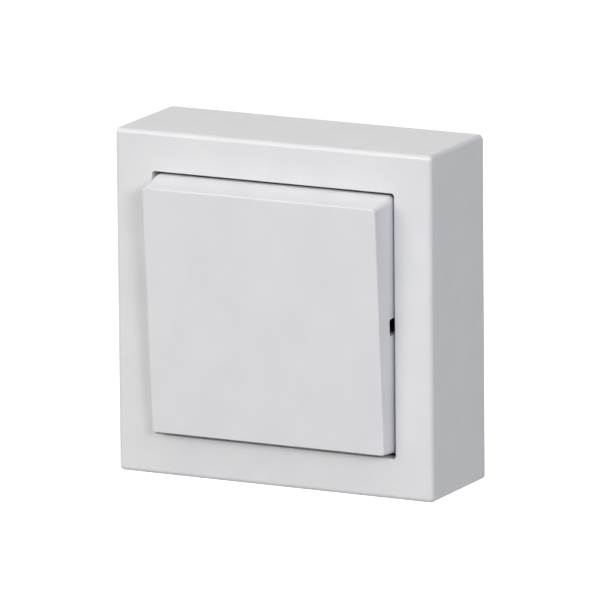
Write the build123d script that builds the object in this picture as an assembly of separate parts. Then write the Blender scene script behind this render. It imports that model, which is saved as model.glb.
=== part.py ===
from build123d import *
from math import cos, radians, sin, tan
import os

# Surface-mounted pushbutton light switch: a deep square cover with one large tilting button.
# The wall is the plane y = 0 and the front faces -Y, so a depth d counts from the wall towards
# the viewer and lies at y = -d. +Z is up. The origin is the centre of the back, on the wall.
# The button rests with its top edge out. Pressed, it swings about a pin and drives a plunger,
# which carries a contact bridge on to two fixed contacts. Two coil springs are in the insert: the
# large one brings everything back, and the small one presses the bridge on to the contacts.

# Cover
face_side = 85.0
housing_depth = 28.8
cover_wall = 2.2
front_wall = 2.5
outer_edge_radius = 1.2
back_edge_radius = 0.3
opening_side = 65.0
opening_corner_radius = 0.8
opening_edge_radius = 0.25
collar_wall = 1.6
collar_depth = 1.2
cover_wall_gap = 0.2
cover_rib_wall = 1.2
cover_rib_depth = 3.2
cover_rib_pitch = 22.0
knockout_width = 14.0
knockout_depth = 9.0
knockout_skin = 0.9

# Button and how it tilts
button_gap = 0.6
button_rise = 8.65
button_wall = 2.0
button_corner_radius = 1.5
button_face_corner_radius = 0.9
button_edge_radius = 0.35
skirt_tuck = 0.5
skirt_shoulder = 0.65
side_draft = 4.8
end_draft = 9.1
pivot_setback = 3.0
rest_tilt = 3.8
notch_height = 4.3
notch_proud = 0.9
notch_corner_radius = 0.6
button_rib_wall = 1.2
button_rib_depth = 0.8
button_rib_pitch = 13.0
hook_width = 6.0
hook_wall = 1.4
hook_lip = 1.0
hook_pitch = 22.0
fit_gap = 0.15

# Carrier that the button snaps on
carrier_side = 41.0
carrier_wall = 1.75
carrier_corner_radius = 2.0
carrier_window_width = 15.0
carrier_window_height = 11.0
hub_offset = 12.5
hub_width = 3.0
hub_radius = 3.0
pin_radius = 1.25
pin_clearance = 0.05
foot_radius = 1.5
foot_width = 5.0
foot_gap = 0.06
stop_offset = 17.0
stop_pitch = 16.0
stop_radius = 2.0
stop_gap = 0.3

# Support ring
ring_overlap = 3.0
ring_wall = 1.2
ring_corner_radius = 6.0
ring_window = 40.0
ring_window_radius = 1.5
rim_clearance = 1.95
ring_screw_spacing = 56.0
ring_slot_length = 8.0
ring_slot_width = 4.2
ring_tab_width = 14.0
ring_tab_depth = 3.5
ring_tab_relief = 1.0
ring_bend_radius = 1.2

# Insert: the moulded block that holds the contacts, and its cover
insert_side = 47.0
insert_lift = 1.2
insert_floor = 1.4
insert_corner_radius = 2.0
insert_wall = 3.7
end_wall = 2.5
chamber_height = 15.5
partition_wall = 1.4
partition_offset = 9.9
cell_columns = 4
cell_rows = 2
cell_wall = 1.5
cell_floor = 3.0
insert_cover_wall = 1.5
ear_wall = 3.0
ear_offset = 17.0
ear_height_over_pin = 2.4
ear_foot_width = 9.0
rivet_radius = 1.0
rivet_head_radius = 1.7
rivet_head_height = 0.7
rivet_pitch = 24.0
rivet_inset = 1.7
wire_hole_radius = 1.6

# Plunger, bridge and contacts
plunger_offset = 12.0
plunger_radius = 3.0
plunger_clearance = 0.05
plunger_frame_height = 8.0
plunger_frame_width = 6.0
plunger_head_wall = 1.65
plunger_foot_wall = 1.2
plunger_shoulder_gap = 0.15
window_height = 4.4
bridge_length = 17.0
bridge_width = 4.2
strip_wall = 0.8
bridge_spring_length = 3.6
bridge_spring_radius = 1.7
bridge_spring_turns = 3.5
return_spring_radius = 2.3
return_spring_turns = 5.0
spring_wire_radius = 0.25
spigot_radius = 1.6
spigot_height = 1.2
tip_offset = 6.5
tip_radius = 1.8
tip_height = 0.9
tip_shank_radius = 0.8
contact_slack = 0.05

# Screw terminals of the two contacts
terminal_offset = 14.5
terminal_lift = 16.7
cage_width = 6.6
cage_length = 5.0
cage_wall = 0.9
cage_rise = 2.8
cage_thread_wall = 2.6
strip_end_gap = 0.6
terminal_screw_radius = 1.5
terminal_head_radius = 2.3
terminal_head_height = 1.9
terminal_head_gap = 0.3
access_clearance = 0.3

# Wall base
base_clearance = 0.3
base_floor = 2.2
base_back_relief = 0.6
base_land = 4.0
base_pad = 14.0
base_corner_radius = 0.8
rim_wall = 1.6
rim_height = 6.3
post_radius = 3.5
post_pilot_radius = 1.35
post_pilot_depth = 11.0
post_gusset_wall = 1.2
post_gusset_reach = 3.0
pillar_side = 4.0
pillar_inset = 4.5
pip_radius = 1.5
pip_clearance = 0.1
fixing_spacing_x = 48.0
fixing_spacing_z = 60.0
fixing_slot_length = 7.5
fixing_slot_width = 4.4
fixing_boss_wall = 1.8
fixing_boss_height = 0.8
snap_offset = 22.0
snap_width = 8.0
snap_depth = 6.5
snap_height = 2.0
snap_bite = 0.5
snap_clearance = 0.3

# Cable seal in the back
seal_neck_radius = 5.0
seal_flange_reach = 1.1
seal_flange_wall = 1.1
seal_bore_radius = 3.6
seal_lip_radius = 4.4
seal_lip_height = 2.4
seal_clearance = 0.1

# Screws in the ring
ring_screw_length = 9.0
ring_head_radius = 3.2
ring_head_height = 1.8
drive_slot_width = 0.9
drive_slot_depth = 0.9

# Earth terminal
earth_length = 12.0
earth_height = 7.0
earth_bore_radius = 2.0
earth_screw_pitch = 6.0
earth_screw_radius = 1.5
earth_head_radius = 2.1
earth_head_height = 1.5
earth_shank_show = 1.0
earth_holder_wall = 1.2
earth_holder_height = 4.0

# Places that follow from the sizes above
pivot_depth = housing_depth - pivot_setback
skirt_half = opening_side / 2 - button_gap
tilt_sine = sin(radians(rest_tilt))
tilt_cosine = cos(radians(rest_tilt))
rim_depth = pivot_depth - skirt_tuck * tilt_cosine - skirt_half * tilt_sine
ring_front = rim_depth - rim_clearance
ring_back = ring_front - ring_wall
ring_side = opening_side + 2 * ring_overlap
ring_half = ring_side / 2
cover_inner_half = face_side / 2 - cover_wall
base_half = cover_inner_half - base_clearance
pillar_offset = ring_half - pillar_inset
post_offset = ring_screw_spacing / 2
insert_half = insert_side / 2
seal_offset = (insert_half + base_half) / 2
earth_offset = (insert_half + base_half - rim_wall) / 2
insert_back = base_floor + insert_lift
chamber_floor = insert_back + insert_floor
insert_cover_front = ring_front + insert_cover_wall
window_half = ring_window / 2
boss_half = window_half - fit_gap
rivet_offset = insert_half - rivet_inset
chamber_top = insert_half - end_wall
chamber_bottom = chamber_top - chamber_height
chamber_half = insert_half - insert_wall
travel = 2 * plunger_offset * tilt_sine
plunger_shoulder = ring_back - plunger_shoulder_gap
window_front = plunger_shoulder - plunger_head_wall
bridge_front = window_front - bridge_spring_length
bridge_back = bridge_front - strip_wall
plunger_foot = bridge_back - plunger_foot_wall
plunger_front = pivot_depth + plunger_offset * tilt_sine - foot_radius - foot_gap
fixed_tip_front = bridge_back - tip_height - travel - contact_slack
strip_front = fixed_tip_front - tip_height
strip_back = strip_front - strip_wall
cage_front = strip_front + cage_rise + cage_thread_wall
strip_end = chamber_top - strip_end_gap
face_inner = button_rise - button_wall
carrier_front = face_inner - button_rib_depth
carrier_back = carrier_front - carrier_wall
carrier_half = carrier_side / 2


def at_depth(depth):
    """A sketch plane facing the viewer, at a distance in front of the wall."""
    return Plane.XZ.offset(depth)


def at_tilt(reach):
    """A sketch plane that tilts with the button, at a distance in front of its pivot axis."""
    normal = (0, -tilt_cosine, -tilt_sine)
    pivot = Plane(origin=(0, -pivot_depth, 0), x_dir=(1, 0, 0), z_dir=normal)
    return pivot.offset(reach)


def across(plane, offset):
    """The plane square to X that shares a plane's origin: sketch x is that plane's y, y its normal."""
    return Plane(origin=plane.origin + plane.x_dir * offset, x_dir=plane.y_dir, z_dir=plane.x_dir)


def slab(plane, width, height, depth, corner_radius=0.0, centre=(0, 0)):
    """A rectangular block that rises from a plane."""
    with BuildPart() as block:
        with BuildSketch(plane):
            with Locations(centre):
                if corner_radius:
                    RectangleRounded(width, height, corner_radius)
                else:
                    Rectangle(width, height)
        extrude(amount=depth)
    return block.part


def peg(plane, radius, depth, centre=(0, 0)):
    """A round pin or hole cutter that rises from a plane."""
    with BuildPart() as pin:
        with BuildSketch(plane):
            with Locations(centre):
                Circle(radius)
        extrude(amount=depth)
    return pin.part


def coil(start_depth, end_depth, radius, turns, centre_z):
    """A coil spring along the depth, touching both of the planes it stands between."""
    start = start_depth + spring_wire_radius
    height = end_depth - start_depth - 2 * spring_wire_radius
    base = Plane(origin=(0, -start, centre_z), x_dir=(1, 0, 0), z_dir=(0, -1, 0))
    path = base.from_local_coords(Helix(height / turns, height, radius))
    with BuildPart() as spring:
        with BuildSketch(Plane(origin=path @ 0, z_dir=path % 0)):
            Circle(spring_wire_radius)
        sweep(path=path, is_frenet=True)
    return spring.part


def slotted_screw(back, front, radius, head_radius, head_height, centre, slot_angle=0.0):
    """A cheese-head screw along the depth, from its tip to under its head, with a straight slot."""
    screw = peg(at_depth(back), radius, front - back, centre)
    head = peg(at_depth(front), head_radius, head_height, centre)
    rim = head.faces().sort_by(Axis.Y)[0].edges()
    head = chamfer(rim, 0.25 * head_height)
    slot_plane = at_depth(front + head_height - drive_slot_depth)
    with BuildPart() as slot:
        with BuildSketch(slot_plane):
            with Locations(centre):
                Rectangle(3 * head_radius, drive_slot_width, rotation=slot_angle)
        extrude(amount=drive_slot_depth)
    return screw + head - slot.part


def make_cover_frame():
    """The deep one-piece cover: front, four sides, and a low collar round the button's opening."""
    with BuildPart() as cover:
        with BuildSketch(at_depth(cover_wall_gap)):
            Rectangle(face_side, face_side)
        extrude(amount=housing_depth - cover_wall_gap)
        back = cover.faces().sort_by(Axis.Y)[-1]
        fillet(cover.edges() - back.edges(), outer_edge_radius)
        fillet(cover.faces().sort_by(Axis.Y)[-1].edges(), back_edge_radius)
        with BuildSketch(at_depth(cover_wall_gap)):
            RectangleRounded(2 * cover_inner_half, 2 * cover_inner_half, outer_edge_radius)
        extrude(amount=housing_depth - front_wall - cover_wall_gap, mode=Mode.SUBTRACT)
        collar_back = housing_depth - front_wall - collar_depth
        collar_side = opening_side + 2 * collar_wall
        with BuildSketch(at_depth(collar_back)):
            RectangleRounded(collar_side, collar_side, opening_corner_radius + collar_wall)
        extrude(amount=collar_depth)
        with BuildSketch(at_depth(collar_back)):
            RectangleRounded(opening_side, opening_side, opening_corner_radius)
        extrude(amount=housing_depth - collar_back, mode=Mode.SUBTRACT)
    shell = cover.part
    front_face = shell.faces().sort_by(Axis.Y)[0]
    shell = fillet(front_face.inner_wires().edges(), opening_edge_radius)

    # Ribs stiffen the front between the collar and the side walls
    rib_back = housing_depth - front_wall - cover_rib_depth
    rib_reach = cover_inner_half - opening_side / 2 - collar_wall / 2
    rib_centre = opening_side / 2 + collar_wall / 2 + rib_reach / 2
    for step in (-1, 0, 1):
        for side in (-1, 1):
            along = step * cover_rib_pitch
            shell += slab(
                at_depth(rib_back),
                rib_reach,
                cover_rib_wall,
                cover_rib_depth,
                centre=(side * rib_centre, along),
            )
            shell += slab(
                at_depth(rib_back),
                cover_rib_wall,
                rib_reach,
                cover_rib_depth,
                centre=(along, side * rib_centre),
            )

    # Thin skins at the back of the top and bottom walls break out for a surface cable
    for side in (-1, 1):
        pocket = slab(
            at_depth(cover_wall_gap),
            knockout_width,
            cover_wall - knockout_skin,
            knockout_depth,
            centre=(0, side * (cover_inner_half + (cover_wall - knockout_skin) / 2)),
        )
        shell -= pocket

    # Pockets inside the left and right walls take the base's snap noses
    pocket_reach = snap_bite + snap_clearance
    for side in (-1, 1):
        for row in (-1, 1):
            shell -= slab(
                at_depth(snap_depth - snap_clearance),
                pocket_reach,
                snap_width + 2 * snap_clearance,
                snap_height + 2 * snap_clearance,
                centre=(side * (cover_inner_half + pocket_reach / 2), row * snap_offset),
            )
    return shell


def button_section(reach, inset=0.0):
    """Width, height and corner radius of the button's outline at a distance in front of its axis."""
    rise = max(0.0, reach - skirt_shoulder)
    share = rise / (button_rise - skirt_shoulder)
    half_width = skirt_half - rise * tan(radians(side_draft)) - inset
    half_height = skirt_half - rise * tan(radians(end_draft)) - inset
    corner = button_corner_radius + share * (button_face_corner_radius - button_corner_radius)
    return 2 * half_width, 2 * half_height, max(corner - inset, 0.2)


def button_form(back, shoulder, front, inset=0.0):
    """The button's solid outline: a straight skirt, then a drafted block that ends in a flat face."""
    with BuildPart() as form:
        with BuildSketch(at_tilt(back)):
            RectangleRounded(*button_section(back, inset))
        extrude(amount=shoulder - back)
        with BuildSketch(at_tilt(shoulder)):
            RectangleRounded(*button_section(shoulder, inset))
        with BuildSketch(at_tilt(front)):
            RectangleRounded(*button_section(front, inset))
        loft(ruled=True)
    return form.part


def make_button():
    """The large white button: a shallow drafted cap with ribs, snap hooks and two side notches."""
    outer = button_form(-skirt_tuck, skirt_shoulder, button_rise)
    face = outer.faces().sort_by(Axis(origin=(0, 0, 0), direction=at_tilt(0).z_dir))[-1]
    outer = fillet(face.edges(), button_edge_radius)
    cap = outer - button_form(-skirt_tuck, skirt_shoulder, face_inner, button_wall)

    # Ribs stand on the carrier
    rib_plane = at_tilt(carrier_front)
    for step in (-1, 0, 1):
        along = step * button_rib_pitch
        width, height, _ = button_section(face_inner, button_wall)
        upright = slab(rib_plane, button_rib_wall, height, button_rib_depth, centre=(along, 0))
        level = slab(rib_plane, width, button_rib_wall, button_rib_depth, centre=(0, along))
        cap += upright + level

    # Hooks reach over the carrier's top and bottom edges and grip its back
    lip_front = carrier_back - fit_gap
    hook_back = lip_front - hook_lip
    arm_centre = carrier_half + fit_gap + hook_wall / 2
    lip_centre = carrier_half + fit_gap - hook_lip / 2
    for side in (-1, 1):
        for step in (-0.5, 0.5):
            place = (step * hook_pitch, side * arm_centre)
            cap += slab(at_tilt(hook_back), hook_width, hook_wall, face_inner - hook_back, centre=place)
            lip = slab(
                at_tilt(hook_back),
                hook_width,
                hook_lip,
                hook_lip,
                centre=(step * hook_pitch, side * lip_centre),
            )
            cap += lip

    # A notch in each side of the skirt, level with the pivot, open to the rim
    notch_top = pivot_setback + notch_proud
    with BuildPart() as notch:
        with BuildSketch(across(at_tilt(0), -skirt_half - button_wall)):
            with Locations((0, (notch_top - 2 * skirt_tuck) / 2)):
                Rectangle(notch_height, notch_top + 2 * skirt_tuck)
        extrude(amount=2 * (skirt_half + button_wall))
        fillet(notch.edges().filter_by(Axis.X).sort_by(Axis.Y)[:2], notch_corner_radius)
    inner_width = button_section(0, button_wall)[0]
    core = slab(
        at_tilt(-2 * skirt_tuck),
        inner_width,
        2 * notch_height,
        notch_top + 4 * skirt_tuck,
    )
    return cap - (notch.part - core)


def make_carrier():
    """The rocking plate under the button, with two hubs, a foot for the plunger and four stops."""
    with BuildPart() as carrier:
        with BuildSketch(at_tilt(carrier_back)):
            RectangleRounded(carrier_side, carrier_side, carrier_corner_radius)
            window_rise = stop_offset / 2 + window_height / 2
            with Locations((0, -window_rise)):
                RectangleRounded(
                    carrier_window_width,
                    carrier_window_height,
                    carrier_corner_radius,
                    mode=Mode.SUBTRACT,
                )
        extrude(amount=carrier_wall)
    plate = carrier.part

    for side in (-1, 1):
        with BuildPart() as hub:
            with BuildSketch(across(at_tilt(0), side * hub_offset - hub_width / 2)):
                Circle(hub_radius)
                with Locations((0, carrier_back / 2)):
                    Rectangle(2 * hub_radius, carrier_back)
                Circle(pin_radius + pin_clearance, mode=Mode.SUBTRACT)
            extrude(amount=hub_width)
        plate += hub.part

    with BuildPart() as foot:
        with BuildSketch(across(at_tilt(0), -foot_width / 2)):
            with Locations((plunger_offset, 0)):
                Circle(foot_radius)
            with Locations((plunger_offset, carrier_back / 2)):
                Rectangle(2 * foot_radius, carrier_back)
        extrude(amount=foot_width)
    plate += foot.part

    # Two stops end the travel at the top, two at the bottom
    stop_clear = pivot_depth - stop_offset * tilt_sine - insert_cover_front - stop_gap
    for row in (-1, 1):
        for step in (-0.5, 0.5):
            centre = (step * stop_pitch, row * stop_offset)
            plate += peg(at_tilt(-stop_clear), stop_radius, stop_clear + carrier_back, centre)
    return plate


def make_pivot_pin():
    """The steel pin that the carrier rocks on."""
    length = 2 * (ear_offset + ear_wall / 2)
    with BuildPart() as pin:
        with BuildSketch(Plane.YZ.offset(-length / 2)):
            with Locations((-pivot_depth, 0)):
                Circle(pin_radius)
        extrude(amount=length)
        chamfer(pin.edges().filter_by(GeomType.CIRCLE), 0.2)
    return pin.part


def make_support_ring():
    """The stamped steel bridge that carries the insert and is screwed to the wall base."""
    with BuildPart() as ring:
        with BuildSketch(at_depth(ring_back)):
            RectangleRounded(ring_side, ring_side, ring_corner_radius)
            RectangleRounded(ring_window, ring_window, ring_window_radius, mode=Mode.SUBTRACT)
            with Locations((-post_offset, 0), (post_offset, 0)):
                SlotOverall(ring_slot_length, ring_slot_width, rotation=90, mode=Mode.SUBTRACT)
            with GridLocations(2 * pillar_offset, 2 * pillar_offset, 2, 2):
                Circle(pip_radius + pip_clearance, mode=Mode.SUBTRACT)
            with GridLocations(2 * rivet_offset, rivet_pitch, 2, 2):
                Circle(rivet_radius, mode=Mode.SUBTRACT)
        extrude(amount=ring_wall)

    # Tabs at the top and bottom edges are bent back to stiffen the sheet, with relief notches
    middle = ring_back + ring_wall / 2
    tab_line = ring_half - ring_wall / 2
    relief_height = ring_bend_radius + ring_wall / 2
    relief_centre = ring_half - relief_height / 2
    tab_start = ring_half - 2 * relief_height
    sheet = ring.part
    for row in (-1, 1):
        relief_width = ring_tab_width + 2 * ring_tab_relief
        sheet -= slab(
            at_depth(ring_back), relief_width, relief_height, ring_wall, centre=(0, row * relief_centre)
        )
        with BuildPart() as tab:
            with BuildSketch(Plane.YZ.offset(-ring_tab_width / 2)):
                with BuildLine():
                    FilletPolyline(
                        (-middle, row * tab_start),
                        (-middle, row * tab_line),
                        (-middle + ring_tab_depth, row * tab_line),
                        radius=ring_bend_radius,
                    )
                trace(line_width=ring_wall)
            extrude(amount=ring_tab_width)
        sheet += tab.part
    return sheet


def make_ring_screws():
    """Two screws that hold the support ring on its posts."""
    screws = []
    for side in (-1, 1):
        screws.append(
            slotted_screw(
                ring_front - ring_screw_length,
                ring_front,
                post_pilot_radius,
                ring_head_radius,
                ring_head_height,
                (side * post_offset, 0),
                slot_angle=35 * side,
            )
        )
    return Compound(children=screws)


def make_insert_base():
    """The moulded block: contact chamber in its upper half, cored-out cells in its lower half."""
    depth = ring_back - insert_back
    block = slab(at_depth(insert_back), insert_side, insert_side, depth, insert_corner_radius)
    block = fillet(block.faces().sort_by(Axis.Y)[-1].edges(), 0.4)
    chamber_middle = (chamber_top + chamber_bottom) / 2
    chamber_deep = ring_back - chamber_floor
    block -= slab(
        at_depth(chamber_floor),
        2 * chamber_half,
        chamber_height,
        chamber_deep,
        centre=(0, chamber_middle),
    )

    # Ledges carry the contact strips, and partitions keep the terminals apart from the plunger
    ledge_inner = tip_offset - tip_radius
    ledge_outer = terminal_offset - cage_width / 2 - fit_gap
    ledge_width = ledge_outer - ledge_inner
    for side in (-1, 1):
        block += slab(
            at_depth(chamber_floor),
            ledge_width,
            chamber_height,
            strip_back - chamber_floor,
            centre=(side * (ledge_inner + ledge_width / 2), chamber_middle),
        )
        wall = slab(
            at_depth(strip_back),
            partition_wall,
            chamber_height,
            ring_back - strip_back,
            centre=(side * partition_offset, chamber_middle),
        )
        passage = slab(
            at_depth(strip_back),
            partition_wall,
            bridge_width,
            strip_wall,
            centre=(side * partition_offset, plunger_offset),
        )
        block += wall - passage

    # A spigot centres the return spring
    block += peg(at_depth(chamber_floor), spigot_radius, spigot_height, (0, plunger_offset))

    # Cells lighten the lower half and keep its walls even
    cell_width = (2 * chamber_half - (cell_columns - 1) * cell_wall) / cell_columns
    cells_height = chamber_bottom - cell_wall + insert_half - end_wall
    cell_height = (cells_height - (cell_rows - 1) * cell_wall) / cell_rows
    cells_middle = chamber_bottom - cell_wall - cells_height / 2
    with BuildPart() as cells:
        with BuildSketch(at_depth(insert_back + cell_floor)):
            with Locations((0, cells_middle)):
                with GridLocations(
                    cell_width + cell_wall, cell_height + cell_wall, cell_columns, cell_rows
                ):
                    Rectangle(cell_width, cell_height)
        extrude(amount=depth - cell_floor)
    block -= cells.part

    # Wires come in through the top wall, under the strips
    wire_depth = (strip_back + chamber_floor + cage_wall) / 2
    for side in (-1, 1):
        entry = Plane(origin=(side * terminal_offset, -wire_depth, chamber_top), z_dir=(0, 0, 1))
        block -= peg(entry, wire_hole_radius, end_wall)
    with BuildPart() as rivet_holes:
        with BuildSketch(at_depth(insert_back)):
            with GridLocations(2 * rivet_offset, rivet_pitch, 2, 2):
                Circle(rivet_radius)
        extrude(amount=depth)
    return block - rivet_holes.part


def make_insert_cover():
    """The insert's front plate, with the plunger's guide, screw holes and the pin's two ears."""
    plate_wall = insert_cover_front - ring_front
    plate = slab(at_depth(ring_front), insert_side, insert_side, plate_wall, insert_corner_radius)
    plate = fillet(plate.faces().sort_by(Axis.Y)[0].edges(), 0.3)
    plate += slab(
        at_depth(ring_back), 2 * boss_half, 2 * boss_half, ring_wall, ring_window_radius
    )
    for side in (-1, 1):
        with BuildPart() as ear:
            with BuildSketch(Plane.YZ.offset(side * ear_offset - ear_wall / 2)):
                with BuildLine():
                    tip = pivot_depth + ear_height_over_pin
                    half = ear_foot_width / 2
                    shoulder = (-pivot_depth, ear_height_over_pin)
                    Line((-insert_cover_front, -half), (-insert_cover_front, half))
                    Line((-insert_cover_front, half), shoulder)
                    ThreePointArc(shoulder, (-tip, 0), (-pivot_depth, -ear_height_over_pin))
                    Line((-pivot_depth, -ear_height_over_pin), (-insert_cover_front, -half))
                make_face()
                with Locations((-pivot_depth, 0)):
                    Circle(pin_radius, mode=Mode.SUBTRACT)
            extrude(amount=ear_wall)
        plate += ear.part
    full_wall = insert_cover_front - ring_back
    plate -= peg(
        at_depth(ring_back), plunger_radius + plunger_clearance, full_wall, (0, plunger_offset)
    )
    for side in (-1, 1):
        plate -= peg(
            at_depth(ring_back),
            terminal_head_radius + access_clearance,
            full_wall,
            (side * terminal_offset, terminal_lift),
        )
    with BuildPart() as rivet_holes:
        with BuildSketch(at_depth(ring_back)):
            with GridLocations(2 * rivet_offset, rivet_pitch, 2, 2):
                Circle(rivet_radius)
        extrude(amount=full_wall)
    return plate - rivet_holes.part


def make_insert_rivets():
    """Four rivets that clamp the insert, the ring and the insert's cover together."""
    rivets = []
    for side in (-1, 1):
        for row in (-0.5, 0.5):
            centre = (side * rivet_offset, row * rivet_pitch)
            shank = peg(at_depth(insert_back), rivet_radius, insert_cover_front - insert_back, centre)
            head = peg(at_depth(insert_cover_front), rivet_head_radius, rivet_head_height, centre)
            head = fillet(head.faces().sort_by(Axis.Y)[0].edges(), 0.7 * rivet_head_height)
            rivets.append(shank + head)
    return Compound(children=rivets)


def make_plunger():
    """The sliding plunger: a round stem, and below it a frame whose window holds the bridge."""
    frame_depth = plunger_shoulder - plunger_foot
    centre = (0, plunger_offset)
    body = slab(
        at_depth(plunger_foot), plunger_frame_width, plunger_frame_height, frame_depth, centre=centre
    )
    stem = peg(at_depth(plunger_shoulder), plunger_radius, plunger_front - plunger_shoulder, centre)
    stem = chamfer(stem.faces().sort_by(Axis.Y)[0].edges(), 0.4)
    window = slab(
        at_depth(bridge_back),
        2 * plunger_frame_width,
        window_height,
        window_front - bridge_back,
        centre=centre,
    )
    spigot_back = plunger_foot - spigot_height
    return body + stem - window + peg(at_depth(spigot_back), spigot_radius, spigot_height, centre)


def make_contact_bridge():
    """The flat strip that joins the two fixed contacts when the button is pressed."""
    with BuildPart() as bridge:
        with BuildSketch(at_depth(bridge_back)):
            with Locations((0, plunger_offset)):
                RectangleRounded(bridge_length, bridge_width, bridge_width / 4)
                with GridLocations(2 * tip_offset, 0, 2, 1):
                    Circle(tip_shank_radius, mode=Mode.SUBTRACT)
        extrude(amount=strip_wall)
    return bridge.part


def contact_tip(face_depth, towards_front, side):
    """A silver rivet: a low round head on the strip's face and a shank through the strip."""
    centre = (side * tip_offset, plunger_offset)
    head_back = face_depth if towards_front else face_depth - tip_height
    shank_back = face_depth - strip_wall if towards_front else face_depth
    head = peg(at_depth(head_back), tip_radius, tip_height, centre)
    outer = head.faces().sort_by(Axis.Y)[0 if towards_front else -1]
    head = fillet(outer.edges(), 0.3)
    return head + peg(at_depth(shank_back), tip_shank_radius, strip_wall, centre)


def make_moving_tips():
    return Compound(children=[contact_tip(bridge_back, False, side) for side in (-1, 1)])


def make_fixed_tips():
    return Compound(children=[contact_tip(strip_front, True, side) for side in (-1, 1)])


def make_fixed_contact(side):
    """An L-shaped brass strip: its foot carries a contact tip, its tongue ends in the terminal."""
    foot_start = tip_offset - tip_radius
    foot_end = terminal_offset + bridge_width / 2
    tongue_start = plunger_offset - bridge_width / 2
    with BuildPart() as strip:
        with BuildSketch(at_depth(strip_back)):
            with Locations((side * (foot_start + foot_end) / 2, plunger_offset)):
                Rectangle(foot_end - foot_start, bridge_width)
            with Locations((side * terminal_offset, (tongue_start + strip_end) / 2)):
                Rectangle(bridge_width, strip_end - tongue_start)
            with Locations((side * tip_offset, plunger_offset)):
                Circle(tip_shank_radius, mode=Mode.SUBTRACT)
        extrude(amount=strip_wall)
    return strip.part


def make_clamp_cages():
    """The two rising clamps that pull a wire up against the underside of a strip."""
    cages = []
    for side in (-1, 1):
        centre = (side * terminal_offset, terminal_lift)
        cage = slab(
            at_depth(chamber_floor), cage_width, cage_length, cage_front - chamber_floor, centre=centre
        )
        opening_back = chamber_floor + cage_wall
        cage -= slab(
            at_depth(opening_back),
            cage_width - 2 * cage_wall,
            2 * cage_length,
            strip_front + cage_rise - opening_back,
            centre=centre,
        )
        cage -= peg(
            at_depth(strip_front + cage_rise), terminal_screw_radius, cage_thread_wall, centre
        )
        cages.append(cage)
    return Compound(children=cages)


def make_terminal_screws():
    screws = []
    for side in (-1, 1):
        screws.append(
            slotted_screw(
                strip_front,
                cage_front + terminal_head_gap,
                terminal_screw_radius,
                terminal_head_radius,
                terminal_head_height,
                (side * terminal_offset, terminal_lift),
                slot_angle=20 + 50 * side,
            )
        )
    return Compound(children=screws)


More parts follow.
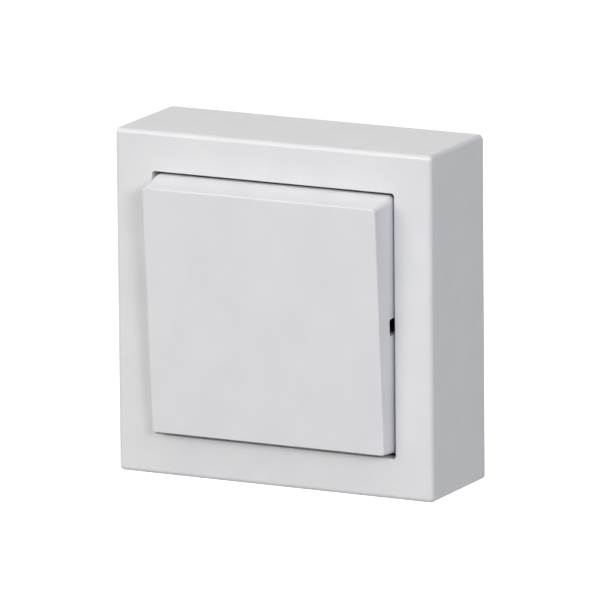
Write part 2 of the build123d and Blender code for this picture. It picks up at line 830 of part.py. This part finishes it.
def make_wall_base():
    """The tray that is screwed to the wall: posts, pillars, slots, snap noses and cable openings."""
    tray = slab(at_depth(0), 2 * base_half, 2 * base_half, base_floor, base_corner_radius)
    tray += slab(
        at_depth(base_floor), 2 * base_half, 2 * base_half, rim_height, base_corner_radius
    ) - slab(
        at_depth(base_floor),
        2 * (base_half - rim_wall),
        2 * (base_half - rim_wall),
        rim_height,
    )

    # The back is relieved, so the tray stands on its edge, a middle pad and pads round the slots
    relief_side = 2 * (base_half - base_land)
    relief = slab(at_depth(0), relief_side, relief_side, base_back_relief, 2.0)
    relief -= slab(at_depth(0), base_pad, base_pad, base_back_relief, 2.0)
    boss_length = fixing_slot_length + 2 * fixing_boss_wall
    boss_width = fixing_slot_width + 2 * fixing_boss_wall
    with BuildPart() as bosses:
        with BuildSketch(at_depth(0)):
            with GridLocations(fixing_spacing_x, fixing_spacing_z, 2, 2):
                SlotOverall(boss_length, boss_width)
            with Locations((0, seal_offset)):
                Circle(seal_neck_radius + seal_flange_reach + fixing_boss_wall)
        extrude(amount=base_floor + fixing_boss_height)
    entry_land = slab(
        at_depth(base_floor), 2 * base_half, 2 * base_half, fixing_boss_height
    ) & peg(
        at_depth(base_floor),
        seal_neck_radius + seal_flange_reach + 2 * fixing_boss_wall,
        fixing_boss_height,
        (0, seal_offset),
    )
    tray = tray - relief + (bosses.part - entry_land)
    with BuildPart() as slots:
        with BuildSketch(at_depth(0)):
            with GridLocations(fixing_spacing_x, fixing_spacing_z, 2, 2):
                SlotOverall(fixing_slot_length, fixing_slot_width)
        extrude(amount=base_floor + fixing_boss_height)
    tray -= slots.part

    # Posts take the ring's screws, with gussets towards the nearest rim
    pilot_back = ring_back - post_pilot_depth
    for side in (-1, 1):
        centre = (side * post_offset, 0)
        post = peg(at_depth(base_floor), post_radius, ring_back - base_floor, centre)
        gusset_reach = base_half - post_offset - rim_wall / 2
        post += slab(
            at_depth(base_floor),
            gusset_reach,
            post_gusset_wall,
            rim_height,
            centre=(side * (post_offset + gusset_reach / 2), 0),
        )
        post += slab(
            at_depth(base_floor),
            post_gusset_wall,
            2 * (post_radius + post_gusset_reach),
            rim_height,
            centre=centre,
        )
        tray += post - peg(at_depth(pilot_back), post_pilot_radius, post_pilot_depth, centre)

    # Corner pillars seat the ring, and their pips centre it
    for side in (-1, 1):
        for row in (-1, 1):
            centre = (side * pillar_offset, row * pillar_offset)
            tray += slab(
                at_depth(base_floor), pillar_side, pillar_side, ring_back - base_floor, 0.5, centre
            )
            tray += peg(at_depth(ring_back), pip_radius, ring_wall, centre)

    # Cable openings: a sealed hole in the back, and gaps in the rim behind the knock-outs
    counterbore = seal_neck_radius + seal_flange_reach + seal_clearance
    tray -= peg(at_depth(0), seal_neck_radius, base_floor, (0, seal_offset))
    tray -= peg(at_depth(0), counterbore, seal_flange_wall, (0, seal_offset))
    for row in (-1, 1):
        tray -= slab(
            at_depth(base_floor),
            knockout_width,
            2 * rim_wall,
            rim_height,
            centre=(0, row * base_half),
        )

    # Snap noses on the left and right rims
    nose_reach = base_clearance + snap_bite
    for side in (-1, 1):
        for row in (-1, 1):
            centre_x = side * (base_half + nose_reach / 2)
            nose = slab(
                at_depth(snap_depth),
                nose_reach,
                snap_width,
                snap_height,
                centre=(centre_x, row * snap_offset),
            )
            outer = nose.faces().sort_by(Axis.X)[-1 if side > 0 else 0]
            front_edge = outer.edges().filter_by(Axis.Z).sort_by(Axis.Y)[0]
            tray += chamfer(front_edge, 0.6 * nose_reach)

    # Walls that grip the earth terminal
    for row in (-1, 1):
        wall_z = -earth_offset + row * (earth_height + earth_holder_wall) / 2
        tray += slab(
            at_depth(base_floor),
            earth_length,
            earth_holder_wall,
            earth_holder_height,
            centre=(0, wall_z),
        )
    return tray


def make_cable_seal():
    """The soft grommet in the back: a flange each side of the floor, and a tapered lip."""
    outer = seal_neck_radius + seal_flange_reach
    front = base_floor + seal_flange_wall
    with BuildPart() as seal:
        with BuildSketch(Plane(origin=(0, 0, seal_offset), x_dir=(1, 0, 0), z_dir=(0, 0, 1))):
            with BuildLine():
                Polyline(
                    (seal_bore_radius, -seal_clearance),
                    (outer, -seal_clearance),
                    (outer, -seal_flange_wall),
                    (seal_neck_radius, -seal_flange_wall),
                    (seal_neck_radius, -base_floor),
                    (outer, -base_floor),
                    (outer, -front),
                    (seal_lip_radius + 1.0, -front),
                    (seal_lip_radius, -front - seal_lip_height),
                    (seal_bore_radius, -front - seal_lip_height),
                    close=True,
                )
            make_face()
        revolve(axis=Axis((0, 0, seal_offset), (0, 1, 0)))
    return seal.part


def make_earth_terminal():
    """The brass block in the wiring space, with a cross hole for the wires."""
    front = base_floor + earth_height
    block = slab(
        at_depth(base_floor), earth_length, earth_height, earth_height, centre=(0, -earth_offset)
    )
    block = chamfer(block.edges(), 0.3)
    bore_depth = base_floor + earth_height / 2
    start = Plane(origin=(-earth_length / 2, -bore_depth, -earth_offset), z_dir=(1, 0, 0))
    block -= peg(start, earth_bore_radius, earth_length)
    for step in (-0.5, 0.5):
        centre = (step * earth_screw_pitch, -earth_offset)
        block -= peg(at_depth(bore_depth), earth_screw_radius, front - bore_depth, centre)
    return block


def make_earth_screws():
    screws = []
    front = base_floor + earth_height
    for step in (-0.5, 0.5):
        screws.append(
            slotted_screw(
                front - earth_height / 2 + earth_shank_show,
                front + earth_shank_show,
                earth_screw_radius,
                earth_head_radius,
                earth_head_height,
                (step * earth_screw_pitch, -earth_offset),
                slot_angle=90 * step,
            )
        )
    return Compound(children=screws)


nodes = {
    "cover_frame": make_cover_frame(),
    "button": make_button(),
    "carrier": make_carrier(),
    "pivot_pin": make_pivot_pin(),
    "support_ring": make_support_ring(),
    "ring_screws": make_ring_screws(),
    "insert_base": make_insert_base(),
    "insert_cover": make_insert_cover(),
    "insert_rivets": make_insert_rivets(),
    "plunger": make_plunger(),
    "contact_bridge": make_contact_bridge(),
    "moving_tips": make_moving_tips(),
    "bridge_spring": coil(
        bridge_front, window_front, bridge_spring_radius, bridge_spring_turns, plunger_offset
    ),
    "return_spring": coil(
        chamber_floor, plunger_foot, return_spring_radius, return_spring_turns, plunger_offset
    ),
    "left_contact": make_fixed_contact(-1),
    "right_contact": make_fixed_contact(1),
    "fixed_tips": make_fixed_tips(),
    "clamp_cages": make_clamp_cages(),
    "terminal_screws": make_terminal_screws(),
    "wall_base": make_wall_base(),
    "cable_seal": make_cable_seal(),
    "earth_terminal": make_earth_terminal(),
    "earth_screws": make_earth_screws(),
}

os.makedirs("parts", exist_ok=True)
for name, shape in nodes.items():
    export_step(shape, f"parts/{name}.step")
print("swing", round(2 * rest_tilt, 3), "degrees, plunger travel", round(travel, 4), "mm")
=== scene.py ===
from math import cos, radians, sin

import bmesh
import bpy
from mathutils import Matrix, Vector


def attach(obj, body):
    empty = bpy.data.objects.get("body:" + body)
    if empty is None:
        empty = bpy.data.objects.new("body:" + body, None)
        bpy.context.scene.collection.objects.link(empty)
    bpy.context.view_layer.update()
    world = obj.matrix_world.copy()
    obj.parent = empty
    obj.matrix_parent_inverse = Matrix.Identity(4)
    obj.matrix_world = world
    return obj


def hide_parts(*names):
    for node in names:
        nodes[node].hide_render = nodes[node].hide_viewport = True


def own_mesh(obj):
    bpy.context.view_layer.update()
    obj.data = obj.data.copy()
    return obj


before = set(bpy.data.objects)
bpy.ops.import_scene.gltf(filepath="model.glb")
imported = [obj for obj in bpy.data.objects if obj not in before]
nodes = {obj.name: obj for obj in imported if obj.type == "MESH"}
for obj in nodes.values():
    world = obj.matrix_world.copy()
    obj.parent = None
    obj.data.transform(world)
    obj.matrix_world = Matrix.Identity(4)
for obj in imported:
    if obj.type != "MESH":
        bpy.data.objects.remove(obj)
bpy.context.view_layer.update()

# A white surface-mounted pushbutton switch, lit by soft boxes all round and shown on white.
# +X is right, the front faces -Y, +Z is up. All lengths are metres unless a name says otherwise.

mmPerMetre = 1000.0
print("frame loaded:", len(nodes), "parts")


def linear(hexColour):
    # sRGB hex to linear colour.
    value = hexColour.lstrip("#")
    out = []
    for start in (0, 2, 4):
        c = int(value[start:start + 2], 16) / 255
        out.append(c / 12.92 if c <= 0.04045 else ((c + 0.055) / 1.055) ** 2.4)
    return (*out, 1.0)


# Camera: fitted to the switch's edges in the photograph, a long lens from the right and a little above

camera = {
    "azimuth": 26.85,       # degrees round from the front, towards +X
    "elevation": 12.43,     # degrees above the horizon
    "roll": -0.51,          # degrees
    "distance": 2.917,
    "aim": (-0.00736, 0.0, -0.0028),
    "lens": 721.1,          # mm
    "sensor": 36.0,         # mm
    "sees": (0.1, 20.0),    # nearest and farthest
}


def makeCamera(c):
    # A camera on a sphere round its aim point, turned about its own view line by the roll.
    azimuth, elevation, roll = radians(c["azimuth"]), radians(c["elevation"]), radians(c["roll"])
    back = Vector((sin(azimuth) * cos(elevation), -cos(azimuth) * cos(elevation), sin(elevation)))
    level = Vector((0, 0, 1)).cross(back).normalized()
    upright = back.cross(level)
    across = cos(roll) * level + sin(roll) * upright
    above = -sin(roll) * level + cos(roll) * upright
    place = Matrix((across, above, back)).transposed().to_4x4()
    place.translation = Vector(c["aim"]) + back * c["distance"]
    data = bpy.data.cameras.new("camera")
    data.lens, data.sensor_width = c["lens"], c["sensor"]
    data.clip_start, data.clip_end = c["sees"]
    made = bpy.data.objects.new("camera", data)
    bpy.context.scene.collection.objects.link(made)
    made.matrix_world = place
    bpy.context.scene.camera = made
    print("camera placed at", [round(x, 3) for x in place.translation])


makeCamera(camera)
bpy.context.scene.view_settings.view_transform = "Standard"


# One helper for every shader node

def addNode(tree, kind, inputs=None, **settings):
    # One shader node. settings are its properties. inputs maps a socket to a value, or to the socket
    # that feeds it.
    node = tree.nodes.new("ShaderNode" + kind)
    for name, value in settings.items():
        setattr(node, name, value)
    for socket, source in (inputs or {}).items():
        if isinstance(source, bpy.types.NodeSocket):
            tree.links.new(source, node.inputs[socket])
        else:
            node.inputs[socket].default_value = source
    return node


def newMaterial(name):
    # An empty node material with its output, and the object's own coordinates in metres.
    material = bpy.data.materials.new(name)
    material.use_nodes = True
    tree = material.node_tree
    tree.nodes.clear()
    output = addNode(tree, "OutputMaterial")
    place = addNode(tree, "TexCoord").outputs["Object"]
    return material, tree, output, place


# How many finer layers a noise gets: smooth for a slow dishing, rich for a cloud
smooth, plain, cloudy, rich = 1.0, 2.0, 3.0, 4.0
noiseSpan = (0.3, 0.7)      # nearly all of a noise's values lie between these


def patternAt(tree, place, cycleMm, detail=plain, stretch=(1, 1, 1)):
    # Noise whose blotches are about cycleMm across; stretch lengthens them along an axis.
    scale = tuple(mmPerMetre / cycleMm / s for s in stretch)
    mapped = addNode(tree, "Mapping", {"Vector": place, "Scale": scale})
    noise = addNode(tree, "TexNoise", {"Vector": mapped.outputs[0], "Scale": 1.0, "Detail": detail})
    return noise.outputs["Fac"]


def glossOver(tree, pattern, roughness):
    # Roughness that follows a pattern between its two ends.
    gloss = addNode(tree, "MapRange", {"Value": pattern,
                                       "From Min": noiseSpan[0], "From Max": noiseSpan[1],
                                       "To Min": roughness[0], "To Max": roughness[1]})
    return gloss.outputs[0]


def toneOver(tree, pattern, stops, tones):
    # Colour that follows a pattern from the first tone to the second.
    ramp = addNode(tree, "ValToRGB", {"Fac": pattern})
    for element, stop, tone in zip(ramp.color_ramp.elements, stops, tones):
        element.position, element.color = stop, linear(tone)
    return ramp.outputs[0]


# Moulded plastics. shade and tint are the two ends of the faint unevenness that pigment leaves, and
# cloud is how wide its blotches are in mm. peel is the fine orange peel of a glossy moulding, or the
# grain of a spark-eroded mould. The real one is about 0.2 mm across, too fine to show, so it is drawn
# as wide as it needs to show. sink is the slow dishing of a wall as it cools. Both are a width and a
# height in mm.

plastics = {
    "moulded ASA, glossy cover": {      # a polished mould: white, with soft but clear reflections
        "shade": "#E4E4E5", "tint": "#E7E7E7", "cloud": 9.0,
        "roughness": (0.28, 0.32), "ior": 1.51,
        "peel": (1.1, 0.0008), "sink": (26.0, 0.006),
    },
    "moulded ASA, glossy button": {     # the same, a little glossier where the hand goes
        "shade": "#E4E4E6", "tint": "#E7E7E8", "cloud": 11.0,
        "roughness": (0.22, 0.26), "ior": 1.51,
        "peel": (1.2, 0.0006), "sink": (30.0, 0.006),
    },
    "moulded ABS, spark eroded": {      # an etched mould: off-white with a fine dry grain
        "shade": "#DBDBD8", "tint": "#E1E1DD", "cloud": 7.0,
        "roughness": (0.50, 0.60), "ior": 1.53,
        "peel": (0.8, 0.006), "sink": (18.0, 0.010),
    },
    "urea moulding compound, grey": {   # pressed from powder: mineral grey with a dull shine
        "shade": "#85878A", "tint": "#929497", "cloud": 2.5,
        "roughness": (0.38, 0.50), "ior": 1.56,
        "peel": (0.7, 0.002), "sink": (12.0, 0.006),
    },
    "glass filled nylon, dark": {       # fibres at the skin: nearly black, uneven and dry
        "shade": "#47494C", "tint": "#55575A", "cloud": 1.4,
        "roughness": (0.45, 0.60), "ior": 1.53,
        "peel": (0.6, 0.004), "sink": (10.0, 0.006),
    },
    "acetal, ivory": {                  # waxy ivory with a soft sheen
        "shade": "#DCD5BF", "tint": "#E3DDC9", "cloud": 4.0,
        "roughness": (0.30, 0.38), "ior": 1.48,
        "peel": (0.6, 0.001), "sink": (8.0, 0.003),
    },
    "EPDM rubber, grey": {              # soft grey, hardly any reflection
        "shade": "#8F9193", "tint": "#9A9C9D", "cloud": 3.0,
        "roughness": (0.68, 0.82), "ior": 1.50,
        "peel": (0.7, 0.006), "sink": (6.0, 0.006),
    },
}


pigmentSpan = (0.35, 0.65)  # the cloud's values at which shade and tint are reached
glossPerCloud = 0.6         # how wide the blotches of the gloss are, as a share of the cloud's


def mouldedPlastic(name):
    # Plastic as it leaves a steel mould: even pigment with a faint cloud, the mould's own grain, a
    # slow sink.
    p = plastics[name]
    material, tree, output, place = newMaterial(name)
    cloud = patternAt(tree, place, p["cloud"], cloudy)
    patches = patternAt(tree, place, glossPerCloud * p["cloud"], rich)
    sinkWidth, sinkHeight = p["sink"]
    sink = addNode(tree, "Bump", {"Height": patternAt(tree, place, sinkWidth, smooth),
                                  "Strength": 1.0, "Distance": sinkHeight / mmPerMetre})
    peelWidth, peelHeight = p["peel"]
    peel = addNode(tree, "Bump", {"Height": patternAt(tree, place, peelWidth, smooth),
                                  "Strength": 1.0, "Distance": peelHeight / mmPerMetre,
                                  "Normal": sink.outputs[0]})
    shader = addNode(tree, "BsdfPrincipled", {
        "Base Color": toneOver(tree, cloud, pigmentSpan, (p["shade"], p["tint"])),
        "Roughness": glossOver(tree, patches, p["roughness"]),
        "IOR": p["ior"], "Normal": peel.outputs[0]})
    tree.links.new(shader.outputs[0], output.inputs["Surface"])
    return material


# Metals. dark and light are the two ends of the tone, and cloud is how wide its blotches are in mm.
# lines is the spacing in mm of the marks that rolling, drawing or plating leaves, depth is their
# depth in mm, and along is how many times longer they are on each axis.

metals = {
    "zinc plated steel": {              # bright cool grey, cloudy from the bath
        "dark": "#9FA3A8", "light": "#C4C6C6", "roughness": (0.28, 0.42),
        "cloud": 3.0, "lines": 0.25, "along": (1, 1, 8), "depth": 0.004,
    },
    "ground steel pin": {               # the sharpest reflection, in fine rings round the pin
        "dark": "#A9ABAD", "light": "#BEBFC1", "roughness": (0.16, 0.26),
        "cloud": 4.0, "lines": 0.12, "along": (1, 6, 6), "depth": 0.003,
    },
    "drawn spring steel": {             # dark grey wire with faint lines
        "dark": "#787B80", "light": "#94979B", "roughness": (0.28, 0.40),
        "cloud": 1.2, "lines": 0.10, "along": (1, 6, 1), "depth": 0.004,
    },
    "rolled brass": {                   # warm yellow, with streaks along the strip
        "dark": "#B08D4A", "light": "#CBAA62", "roughness": (0.26, 0.42),
        "cloud": 2.2, "lines": 0.20, "along": (8, 1, 1), "depth": 0.004,
    },
    "fine silver contact": {            # pale and soft, nearly white
        "dark": "#C4C3BF", "light": "#DDDCD8", "roughness": (0.24, 0.36),
        "cloud": 0.8, "lines": 0.15, "along": (1, 1, 1), "depth": 0.003,
    },
}


streakBump = 0.4            # how much of the marks' depth is felt through plating and wear


def workedMetal(name):
    # Metal with the faint streaks of how it was made and cloudy plating or tarnish over them.
    m = metals[name]
    material, tree, output, place = newMaterial(name)
    cloud = patternAt(tree, place, m["cloud"], rich)
    streaks = patternAt(tree, place, m["lines"], plain, m["along"])
    bump = addNode(tree, "Bump", {"Height": streaks, "Strength": streakBump,
                                  "Distance": m["depth"] / mmPerMetre})
    shader = addNode(tree, "BsdfPrincipled", {
        "Base Color": toneOver(tree, cloud, noiseSpan, (m["dark"], m["light"])),
        "Roughness": glossOver(tree, streaks, m["roughness"]),
        "Metallic": 1.0, "Normal": bump.outputs[0]})
    tree.links.new(shader.outputs[0], output.inputs["Surface"])
    return material


# What each part is made of

finishes = {
    "moulded ASA, glossy cover": ["cover_frame"],
    "moulded ASA, glossy button": ["button"],
    "moulded ABS, spark eroded": ["wall_base"],
    "urea moulding compound, grey": ["insert_base", "insert_cover"],
    "glass filled nylon, dark": ["carrier"],
    "acetal, ivory": ["plunger"],
    "EPDM rubber, grey": ["cable_seal"],
    "zinc plated steel": ["support_ring", "ring_screws", "insert_rivets", "terminal_screws",
                          "clamp_cages", "earth_screws"],
    "ground steel pin": ["pivot_pin"],
    "drawn spring steel": ["bridge_spring", "return_spring"],
    "rolled brass": ["left_contact", "right_contact", "contact_bridge", "earth_terminal"],
    "fine silver contact": ["moving_tips", "fixed_tips"],
}

for finish, names in finishes.items():
    made = mouldedPlastic(finish) if finish in plastics else workedMetal(finish)
    for name in names:
        slots = nodes[name].data.materials
        slots.clear()
        slots.append(made)
print("materials made:", len(finishes), "for", sum(len(n) for n in finishes.values()), "parts")


# The return spring shortens as the plunger goes in. A part that only rides on the plunger can't.
# Its own shape, as one skin, takes its place and rides on the plunger.

squeezed = {
    "part": "return_spring",
    "name": "return_spring_coil",
    "slot": "spring_steel",
    "body": "plunger",
    "joint": "plunger_slide",
    "skinGap": 1e-6,            # corners nearer than this are one
}


def squeezedSpring(s):
    # The part's own mesh, merged into one skin, is fastened to the plunger in the part's place, and
    # the part is hidden.
    mesh = nodes[s["part"]].data.copy()
    skin = bmesh.new()
    skin.from_mesh(mesh)
    bmesh.ops.remove_doubles(skin, verts=skin.verts, dist=s["skinGap"])
    skin.to_mesh(mesh)
    skin.free()
    spring = bpy.data.objects.new(s["name"], mesh)
    bpy.context.scene.collection.objects.link(spring)
    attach(spring, s["body"])
    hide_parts(s["part"])
    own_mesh(spring)


squeezedSpring(squeezed)


# Studio: soft boxes, a floor well below the floating switch, and white all round

studio = {
    "floorDrop": 0.30,          # how far the floor lies below the origin
    "floorSize": 8.0,
    "floorColour": "#ACACAC",   # grey, so that it throws little light up under the switch
    "floorTooth": (2.0, 0.1),   # the paper's grain: width and height in mm
    "floorGlow": (0.60, 1.0),   # what the floor adds where it is seen, below the switch and far off
    "glowReach": (0.45, 0.85),  # the distances between which it changes from one to the other
    "sky": 1.0,                 # how white the surroundings look
    "ambient": 0.0,             # what they light the object with
    "lamps": {                  # azimuth, elevation, distance, width, power, colour
        "front": (0, 32, 1.6, 1.1, 4.8, "#FFFEFD"),
        "upper left": (-45, 50, 1.6, 1.1, 1.8, "#FFFEFD"),
        "low left": (-30, 20, 1.6, 0.8, 8.5, "#FFFEFD"),
        "right": (65, 35, 1.6, 0.6, 3.7, "#EFF3FF"),
        "low right": (45, 20, 1.6, 0.4, 7.6, "#F7F9FF"),
        "overhead": (15, 78, 1.6, 0.9, 6.6, "#FFFEFD"),
        "left fill": (-112, 4, 1.6, 0.5, 6.0, "#FFFFFF"),
        "back fill": (-170, 0, 1.6, 0.5, 10.0, "#FFFFFF"),
    },
}


def makeFloor(s):
    # A flat grey sheet. It shows brighter than it lights, fully white far off, and still takes the
    # object's shadow.
    half, low = s["floorSize"] / 2, -s["floorDrop"]
    corners = [(-half, -half, low), (half, -half, low), (half, half, low), (-half, half, low)]
    mesh = bpy.data.meshes.new("floor")
    mesh.from_pydata(corners, [], [(0, 1, 2, 3)])
    floor = bpy.data.objects.new("floor", mesh)
    bpy.context.scene.collection.objects.link(floor)
    material, tree, output, place = newMaterial("matt paper sweep")
    toothWidth, toothHeight = s["floorTooth"]
    tooth = addNode(tree, "Bump", {"Height": patternAt(tree, place, toothWidth), "Strength": 0.1,
                                   "Distance": toothHeight / mmPerMetre})
    paper = addNode(tree, "BsdfPrincipled", {"Base Color": linear(s["floorColour"]), "Roughness": 0.9,
                                             "Normal": tooth.outputs[0]})
    far = addNode(tree, "VectorMath", {0: place}, operation="LENGTH").outputs["Value"]
    added = addNode(tree, "MapRange", {"Value": far,
                                       "From Min": s["glowReach"][0], "From Max": s["glowReach"][1],
                                       "To Min": s["floorGlow"][0], "To Max": s["floorGlow"][1]})
    glow = addNode(tree, "Emission", {"Color": (1, 1, 1, 1),
                                      "Strength": seenLevel(tree, added.outputs[0], 0.0)})
    both = addNode(tree, "AddShader", {0: paper.outputs[0], 1: glow.outputs[0]})
    tree.links.new(both.outputs[0], output.inputs["Surface"])
    mesh.materials.append(material)


def seenLevel(tree, seen, unseen):
    # One level where a ray from the eye, a reflection or glass meets this, another where it only
    # lights.
    path = addNode(tree, "LightPath").outputs
    direct = addNode(tree, "Math", {0: path["Is Camera Ray"], 1: path["Is Glossy Ray"]},
                     operation="MAXIMUM")
    clear = addNode(tree, "Math", {0: direct.outputs[0], 1: path["Is Transmission Ray"]},
                    operation="MAXIMUM")
    level = addNode(tree, "MapRange", {"Value": clear.outputs[0], "To Min": unseen, "To Max": seen})
    return level.outputs[0]


def makeLamp(name, azimuth, elevation, distance, width, power, colour):
    # A square softbox on a sphere round the object, facing it.
    a, e = radians(azimuth), radians(elevation)
    away = Vector((sin(a) * cos(e), -cos(a) * cos(e), sin(e)))
    data = bpy.data.lights.new(name, "AREA")
    data.shape, data.size, data.energy = "SQUARE", width, power
    data.color = linear(colour)[:3]
    lamp = bpy.data.objects.new(name, data)
    bpy.context.scene.collection.objects.link(lamp)
    turn = away.to_track_quat("Z", "Y").to_matrix().to_4x4()
    lamp.matrix_world = Matrix.Translation(away * distance) @ turn


def makeSurroundings(s):
    # White where it is seen, and no light of its own.
    world = bpy.data.worlds.new("studio")
    bpy.context.scene.world = world
    world.use_nodes = True
    tree = world.node_tree
    tree.nodes.clear()
    sky = addNode(tree, "Background", {"Color": (1, 1, 1, 1),
                                       "Strength": seenLevel(tree, s["sky"], s["ambient"])})
    addNode(tree, "OutputWorld", {"Surface": sky.outputs[0]})


makeFloor(studio)
for name, values in studio["lamps"].items():
    makeLamp(name, *values)
makeSurroundings(studio)
print("studio lit with", len(studio["lamps"]), "lamps")
